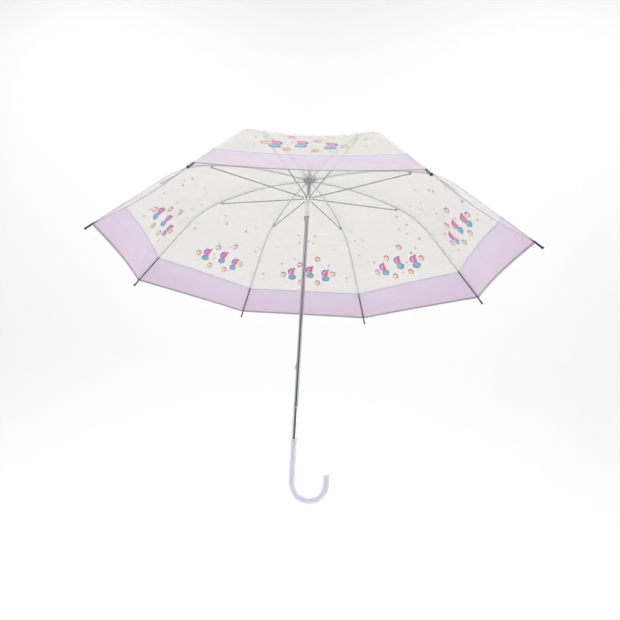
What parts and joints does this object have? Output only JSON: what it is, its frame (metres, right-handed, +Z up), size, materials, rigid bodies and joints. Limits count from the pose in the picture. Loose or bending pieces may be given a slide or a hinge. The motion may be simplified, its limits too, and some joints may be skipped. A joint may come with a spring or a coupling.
{
  "type": "clear bubble umbrella",
  "caption": "Domed rain umbrella with clear panels, a coloured border band, a sliding runner, folding ribs and a slim hook handle.",
  "frame": {"origin": "middle of the straight part of the handle, on the shaft axis", "axes": "+Z up the shaft to the ferrule, +X from the shaft towards the free end of the hook"},
  "size_m": [0.809, 0.809, 0.6999],
  "materials": {
    "shaft_steel": "polished tube",
    "crown_plastic": "satin moulded plastic",
    "wire": "drawn wire",
    "ferrule_plastic": "glossy plastic",
    "cap_vinyl": "translucent vinyl",
    "catch_steel": "spring steel",
    "collar_chrome": "mirror polish",
    "handle_plastic": "translucent gloss",
    "runner_plastic": "moulded gloss",
    "rib_fibreglass": "drawn fibreglass rod",
    "tip_plastic": "moulded gloss",
    "stretcher_coat": "dip coat",
    "canopy_vinyl": "clear vinyl film"
  },
  "bodies": {
    "shaft": {"shaft_tube": "shaft_steel", "crown": "crown_plastic", "crown_wire": "wire", "ferrule": "ferrule_plastic", "canopy_cap": "cap_vinyl", "stop_pin": "wire", "collar": "collar_chrome", "handle": "handle_plastic"},
    "top_catch": {"top_catch": "catch_steel"},
    "low_catch": {"low_catch": "catch_steel"},
    "runner": {"runner": "runner_plastic", "runner_wire": "wire"},
    "rib_root_1": {"rib_root_1": "rib_fibreglass"},
    "rib_end_1": {"rib_end_1": "rib_fibreglass", "rib_tip_1": "tip_plastic"},
    "stretcher_1": {"stretcher_1": "stretcher_coat"},
    "panel_left_1": {"panel_left_1": "canopy_vinyl"},
    "panel_right_1": {"panel_right_1": "canopy_vinyl"},
    "rib_root_2": {"rib_root_2": "rib_fibreglass"},
    "rib_end_2": {"rib_end_2": "rib_fibreglass", "rib_tip_2": "tip_plastic"},
    "stretcher_2": {"stretcher_2": "stretcher_coat"},
    "panel_left_2": {"panel_left_2": "canopy_vinyl"},
    "panel_right_2": {"panel_right_2": "canopy_vinyl"},
    "rib_root_3": {"rib_root_3": "rib_fibreglass"},
    "rib_end_3": {"rib_end_3": "rib_fibreglass", "rib_tip_3": "tip_plastic"},
    "stretcher_3": {"stretcher_3": "stretcher_coat"},
    "panel_left_3": {"panel_left_3": "canopy_vinyl"},
    "panel_right_3": {"panel_right_3": "canopy_vinyl"},
    "rib_root_4": {"rib_root_4": "rib_fibreglass"},
    "rib_end_4": {"rib_end_4": "rib_fibreglass", "rib_tip_4": "tip_plastic"},
    "stretcher_4": {"stretcher_4": "stretcher_coat"},
    "panel_left_4": {"panel_left_4": "canopy_vinyl"},
    "panel_right_4": {"panel_right_4": "canopy_vinyl"},
    "rib_root_5": {"rib_root_5": "rib_fibreglass"},
    "rib_end_5": {"rib_end_5": "rib_fibreglass", "rib_tip_5": "tip_plastic"},
    "stretcher_5": {"stretcher_5": "stretcher_coat"},
    "panel_left_5": {"panel_left_5": "canopy_vinyl"},
    "panel_right_5": {"panel_right_5": "canopy_vinyl"},
    "rib_root_6": {"rib_root_6": "rib_fibreglass"},
    "rib_end_6": {"rib_end_6": "rib_fibreglass", "rib_tip_6": "tip_plastic"},
    "stretcher_6": {"stretcher_6": "stretcher_coat"},
    "panel_left_6": {"panel_left_6": "canopy_vinyl"},
    "panel_right_6": {"panel_right_6": "canopy_vinyl"},
    "rib_root_7": {"rib_root_7": "rib_fibreglass"},
    "rib_end_7": {"rib_end_7": "rib_fibreglass", "rib_tip_7": "tip_plastic"},
    "stretcher_7": {"stretcher_7": "stretcher_coat"},
    "panel_left_7": {"panel_left_7": "canopy_vinyl"},
    "panel_right_7": {"panel_right_7": "canopy_vinyl"},
    "rib_root_8": {"rib_root_8": "rib_fibreglass"},
    "rib_end_8": {"rib_end_8": "rib_fibreglass", "rib_tip_8": "tip_plastic"},
    "stretcher_8": {"stretcher_8": "stretcher_coat"},
    "panel_left_8": {"panel_left_8": "canopy_vinyl"},
    "panel_right_8": {"panel_right_8": "canopy_vinyl"}
  },
  "joints": [
    {"name": "fold", "type": "hinge", "parent": "shaft", "child": "rib_root_1", "pos_m": [0.00739, 0.00306, 0.579], "axis": [-0.3827, 0.9239, 0], "range_deg": [0, 82.4], "deforming": ["panel_left_1", "panel_right_1", "panel_left_2", "panel_right_2", "panel_left_3", "panel_right_3", "panel_left_4", "panel_right_4", "panel_left_5", "panel_right_5", "panel_left_6", "panel_right_6", "panel_left_7", "panel_right_7", "panel_left_8", "panel_right_8", "top_catch", "low_catch"]},
    {"name": "stretcher_1_fold", "type": "hinge", "parent": "rib_root_1", "child": "stretcher_1", "pos_m": [0.19586, 0.08113, 0.559], "axis": [-0.3827, 0.9239, 0], "range_deg": [-165.3, 0]},
    {"name": "rib_1_flex", "type": "hinge", "parent": "rib_root_1", "child": "rib_end_1", "pos_m": [0.20447, 0.0847, 0.56125], "axis": [-0.3827, 0.9239, 0], "range_deg": [-32.19, 0]},
    {"name": "panel_left_1_fold", "type": "hinge", "parent": "rib_root_1", "child": "panel_left_1", "pos_m": [0.00739, 0.00306, 0.579], "axis": [0.9473, 0.1874, -0.2599], "range_deg": [0, 79.19]},
    {"name": "panel_right_1_fold", "type": "hinge", "parent": "rib_root_1", "child": "panel_right_1", "pos_m": [0.00739, 0.00306, 0.579], "axis": [-0.8023, -0.5373, 0.2599], "range_deg": [0, 79.19]},
    {"name": "runner_slide", "type": "hinge", "parent": "stretcher_1", "child": "runner", "pos_m": [0.00739, 0.00306, 0.539], "axis": [-0.3827, 0.9239, 0], "range_deg": [0, 82.9]},
    {"name": "rib_2_fold", "type": "hinge", "parent": "shaft", "child": "rib_root_2", "pos_m": [0.00306, 0.00739, 0.579], "axis": [-0.9239, 0.3827, 0], "range_deg": [0, 82.9]},
    {"name": "stretcher_2_fold", "type": "hinge", "parent": "rib_root_2", "child": "stretcher_2", "pos_m": [0.08113, 0.19586, 0.559], "axis": [-0.9239, 0.3827, 0], "range_deg": [-165.3, 0]},
    {"name": "rib_2_flex", "type": "hinge", "parent": "rib_root_2", "child": "rib_end_2", "pos_m": [0.0847, 0.20447, 0.56125], "axis": [-0.9239, 0.3827, 0], "range_deg": [-32.19, 0]},
    {"name": "panel_left_2_fold", "type": "hinge", "parent": "rib_root_2", "child": "panel_left_2", "pos_m": [0.00306, 0.00739, 0.579], "axis": [0.5373, 0.8023, -0.2599], "range_deg": [0, 79.19]},
    {"name": "panel_right_2_fold", "type": "hinge", "parent": "rib_root_2", "child": "panel_right_2", "pos_m": [0.00306, 0.00739, 0.579], "axis": [-0.1874, -0.9473, 0.2599], "range_deg": [0, 79.19]},
    {"name": "rib_3_fold", "type": "hinge", "parent": "shaft", "child": "rib_root_3", "pos_m": [-0.00306, 0.00739, 0.579], "axis": [-0.9239, -0.3827, 0], "range_deg": [0, 82.9]},
    {"name": "stretcher_3_fold", "type": "hinge", "parent": "rib_root_3", "child": "stretcher_3", "pos_m": [-0.08113, 0.19586, 0.559], "axis": [-0.9239, -0.3827, 0], "range_deg": [-165.3, 0]},
    {"name": "rib_3_flex", "type": "hinge", "parent": "rib_root_3", "child": "rib_end_3", "pos_m": [-0.0847, 0.20447, 0.56125], "axis": [-0.9239, -0.3827, 0], "range_deg": [-32.19, 0]},
    {"name": "panel_left_3_fold", "type": "hinge", "parent": "rib_root_3", "child": "panel_left_3", "pos_m": [-0.00306, 0.00739, 0.579], "axis": [-0.1874, 0.9473, -0.2599], "range_deg": [0, 79.19]},
    {"name": "panel_right_3_fold", "type": "hinge", "parent": "rib_root_3", "child": "panel_right_3", "pos_m": [-0.00306, 0.00739, 0.579], "axis": [0.5373, -0.8023, 0.2599], "range_deg": [0, 79.19]},
    {"name": "rib_4_fold", "type": "hinge", "parent": "shaft", "child": "rib_root_4", "pos_m": [-0.00739, 0.00306, 0.579], "axis": [-0.3827, -0.9239, 0], "range_deg": [0, 82.9]},
    {"name": "stretcher_4_fold", "type": "hinge", "parent": "rib_root_4", "child": "stretcher_4", "pos_m": [-0.19586, 0.08113, 0.559], "axis": [-0.3827, -0.9239, 0], "range_deg": [-165.3, 0]},
    {"name": "rib_4_flex", "type": "hinge", "parent": "rib_root_4", "child": "rib_end_4", "pos_m": [-0.20447, 0.0847, 0.56125], "axis": [-0.3827, -0.9239, 0], "range_deg": [-32.19, 0]},
    {"name": "panel_left_4_fold", "type": "hinge", "parent": "rib_root_4", "child": "panel_left_4", "pos_m": [-0.00739, 0.00306, 0.579], "axis": [-0.8023, 0.5373, -0.2599], "range_deg": [0, 79.19]},
    {"name": "panel_right_4_fold", "type": "hinge", "parent": "rib_root_4", "child": "panel_right_4", "pos_m": [-0.00739, 0.00306, 0.579], "axis": [0.9473, -0.1874, 0.2599], "range_deg": [0, 79.19]},
    {"name": "rib_5_fold", "type": "hinge", "parent": "shaft", "child": "rib_root_5", "pos_m": [-0.00739, -0.00306, 0.579], "axis": [0.3827, -0.9239, 0], "range_deg": [0, 82.9]},
    {"name": "stretcher_5_fold", "type": "hinge", "parent": "rib_root_5", "child": "stretcher_5", "pos_m": [-0.19586, -0.08113, 0.559], "axis": [0.3827, -0.9239, 0], "range_deg": [-165.3, 0]},
    {"name": "rib_5_flex", "type": "hinge", "parent": "rib_root_5", "child": "rib_end_5", "pos_m": [-0.20447, -0.0847, 0.56125], "axis": [0.3827, -0.9239, 0], "range_deg": [-32.19, 0]},
    {"name": "panel_left_5_fold", "type": "hinge", "parent": "rib_root_5", "child": "panel_left_5", "pos_m": [-0.00739, -0.00306, 0.579], "axis": [-0.9473, -0.1874, -0.2599], "range_deg": [0, 79.19]},
    {"name": "panel_right_5_fold", "type": "hinge", "parent": "rib_root_5", "child": "panel_right_5", "pos_m": [-0.00739, -0.00306, 0.579], "axis": [0.8023, 0.5373, 0.2599], "range_deg": [0, 79.19]},
    {"name": "rib_6_fold", "type": "hinge", "parent": "shaft", "child": "rib_root_6", "pos_m": [-0.00306, -0.00739, 0.579], "axis": [0.9239, -0.3827, 0], "range_deg": [0, 82.9]},
    {"name": "stretcher_6_fold", "type": "hinge", "parent": "rib_root_6", "child": "stretcher_6", "pos_m": [-0.08113, -0.19586, 0.559], "axis": [0.9239, -0.3827, 0], "range_deg": [-165.3, 0]},
    {"name": "rib_6_flex", "type": "hinge", "parent": "rib_root_6", "child": "rib_end_6", "pos_m": [-0.0847, -0.20447, 0.56125], "axis": [0.9239, -0.3827, 0], "range_deg": [-32.19, 0]},
    {"name": "panel_left_6_fold", "type": "hinge", "parent": "rib_root_6", "child": "panel_left_6", "pos_m": [-0.00306, -0.00739, 0.579], "axis": [-0.5373, -0.8023, -0.2599], "range_deg": [0, 79.19]},
    {"name": "panel_right_6_fold", "type": "hinge", "parent": "rib_root_6", "child": "panel_right_6", "pos_m": [-0.00306, -0.00739, 0.579], "axis": [0.1874, 0.9473, 0.2599], "range_deg": [0, 79.19]},
    {"name": "rib_7_fold", "type": "hinge", "parent": "shaft", "child": "rib_root_7", "pos_m": [0.00306, -0.00739, 0.579], "axis": [0.9239, 0.3827, 0], "range_deg": [0, 82.9]},
    {"name": "stretcher_7_fold", "type": "hinge", "parent": "rib_root_7", "child": "stretcher_7", "pos_m": [0.08113, -0.19586, 0.559], "axis": [0.9239, 0.3827, 0], "range_deg": [-165.3, 0]},
    {"name": "rib_7_flex", "type": "hinge", "parent": "rib_root_7", "child": "rib_end_7", "pos_m": [0.0847, -0.20447, 0.56125], "axis": [0.9239, 0.3827, 0], "range_deg": [-32.19, 0]},
    {"name": "panel_left_7_fold", "type": "hinge", "parent": "rib_root_7", "child": "panel_left_7", "pos_m": [0.00306, -0.00739, 0.579], "axis": [0.1874, -0.9473, -0.2599], "range_deg": [0, 79.19]},
    {"name": "panel_right_7_fold", "type": "hinge", "parent": "rib_root_7", "child": "panel_right_7", "pos_m": [0.00306, -0.00739, 0.579], "axis": [-0.5373, 0.8023, 0.2599], "range_deg": [0, 79.19]},
    {"name": "rib_8_fold", "type": "hinge", "parent": "shaft", "child": "rib_root_8", "pos_m": [0.00739, -0.00306, 0.579], "axis": [0.3827, 0.9239, 0], "range_deg": [0, 82.9]},
    {"name": "stretcher_8_fold", "type": "hinge", "parent": "rib_root_8", "child": "stretcher_8", "pos_m": [0.19586, -0.08113, 0.559], "axis": [0.3827, 0.9239, 0], "range_deg": [-165.3, 0]},
    {"name": "rib_8_flex", "type": "hinge", "parent": "rib_root_8", "child": "rib_end_8", "pos_m": [0.20447, -0.0847, 0.56125], "axis": [0.3827, 0.9239, 0], "range_deg": [-32.19, 0]},
    {"name": "panel_left_8_fold", "type": "hinge", "parent": "rib_root_8", "child": "panel_left_8", "pos_m": [0.00739, -0.00306, 0.579], "axis": [0.8023, -0.5373, -0.2599], "range_deg": [0, 79.19]},
    {"name": "panel_right_8_fold", "type": "hinge", "parent": "rib_root_8", "child": "panel_right_8", "pos_m": [0.00739, -0.00306, 0.579], "axis": [-0.9473, 0.1874, 0.2599], "range_deg": [0, 79.19]},
    {"name": "top_catch_press", "type": "slide", "parent": "shaft", "child": "top_catch", "axis": [1, 0, 0], "range_m": [0, 0.0021], "stiffness_N_per_m": 250},
    {"name": "low_catch_press", "type": "slide", "parent": "shaft", "child": "low_catch", "axis": [1, 0, 0], "range_m": [0, 0.0021], "stiffness_N_per_m": 250}
  ],
  "couplings": [
    {"joint": "stretcher_1_fold", "follows": "fold", "ratio": -2},
    {"joint": "rib_1_flex", "follows": "fold", "ratio": -0.38457},
    {"joint": "panel_left_1_fold", "follows": "fold", "ratio": 0.95497},
    {"joint": "panel_right_1_fold", "follows": "fold", "ratio": 0.95497},
    {"joint": "runner_slide", "follows": "fold", "ratio": 1},
    {"joint": "rib_2_fold", "follows": "fold", "ratio": 1},
    {"joint": "stretcher_2_fold", "follows": "fold", "ratio": -2},
    {"joint": "rib_2_flex", "follows": "fold", "ratio": -0.38457},
    {"joint": "panel_left_2_fold", "follows": "fold", "ratio": 0.95497},
    {"joint": "panel_right_2_fold", "follows": "fold", "ratio": 0.95497},
    {"joint": "rib_3_fold", "follows": "fold", "ratio": 1},
    {"joint": "stretcher_3_fold", "follows": "fold", "ratio": -2},
    {"joint": "rib_3_flex", "follows": "fold", "ratio": -0.38457},
    {"joint": "panel_left_3_fold", "follows": "fold", "ratio": 0.95497},
    {"joint": "panel_right_3_fold", "follows": "fold", "ratio": 0.95497},
    {"joint": "rib_4_fold", "follows": "fold", "ratio": 1},
    {"joint": "stretcher_4_fold", "follows": "fold", "ratio": -2},
    {"joint": "rib_4_flex", "follows": "fold", "ratio": -0.38457},
    {"joint": "panel_left_4_fold", "follows": "fold", "ratio": 0.95497},
    {"joint": "panel_right_4_fold", "follows": "fold", "ratio": 0.95497},
    {"joint": "rib_5_fold", "follows": "fold", "ratio": 1},
    {"joint": "stretcher_5_fold", "follows": "fold", "ratio": -2},
    {"joint": "rib_5_flex", "follows": "fold", "ratio": -0.38457},
    {"joint": "panel_left_5_fold", "follows": "fold", "ratio": 0.95497},
    {"joint": "panel_right_5_fold", "follows": "fold", "ratio": 0.95497},
    {"joint": "rib_6_fold", "follows": "fold", "ratio": 1},
    {"joint": "stretcher_6_fold", "follows": "fold", "ratio": -2},
    {"joint": "rib_6_flex", "follows": "fold", "ratio": -0.38457},
    {"joint": "panel_left_6_fold", "follows": "fold", "ratio": 0.95497},
    {"joint": "panel_right_6_fold", "follows": "fold", "ratio": 0.95497},
    {"joint": "rib_7_fold", "follows": "fold", "ratio": 1},
    {"joint": "stretcher_7_fold", "follows": "fold", "ratio": -2},
    {"joint": "rib_7_flex", "follows": "fold", "ratio": -0.38457},
    {"joint": "panel_left_7_fold", "follows": "fold", "ratio": 0.95497},
    {"joint": "panel_right_7_fold", "follows": "fold", "ratio": 0.95497},
    {"joint": "rib_8_fold", "follows": "fold", "ratio": 1},
    {"joint": "stretcher_8_fold", "follows": "fold", "ratio": -2},
    {"joint": "rib_8_flex", "follows": "fold", "ratio": -0.38457},
    {"joint": "panel_left_8_fold", "follows": "fold", "ratio": 0.95497},
    {"joint": "panel_right_8_fold", "follows": "fold", "ratio": 0.95497}
  ]
}
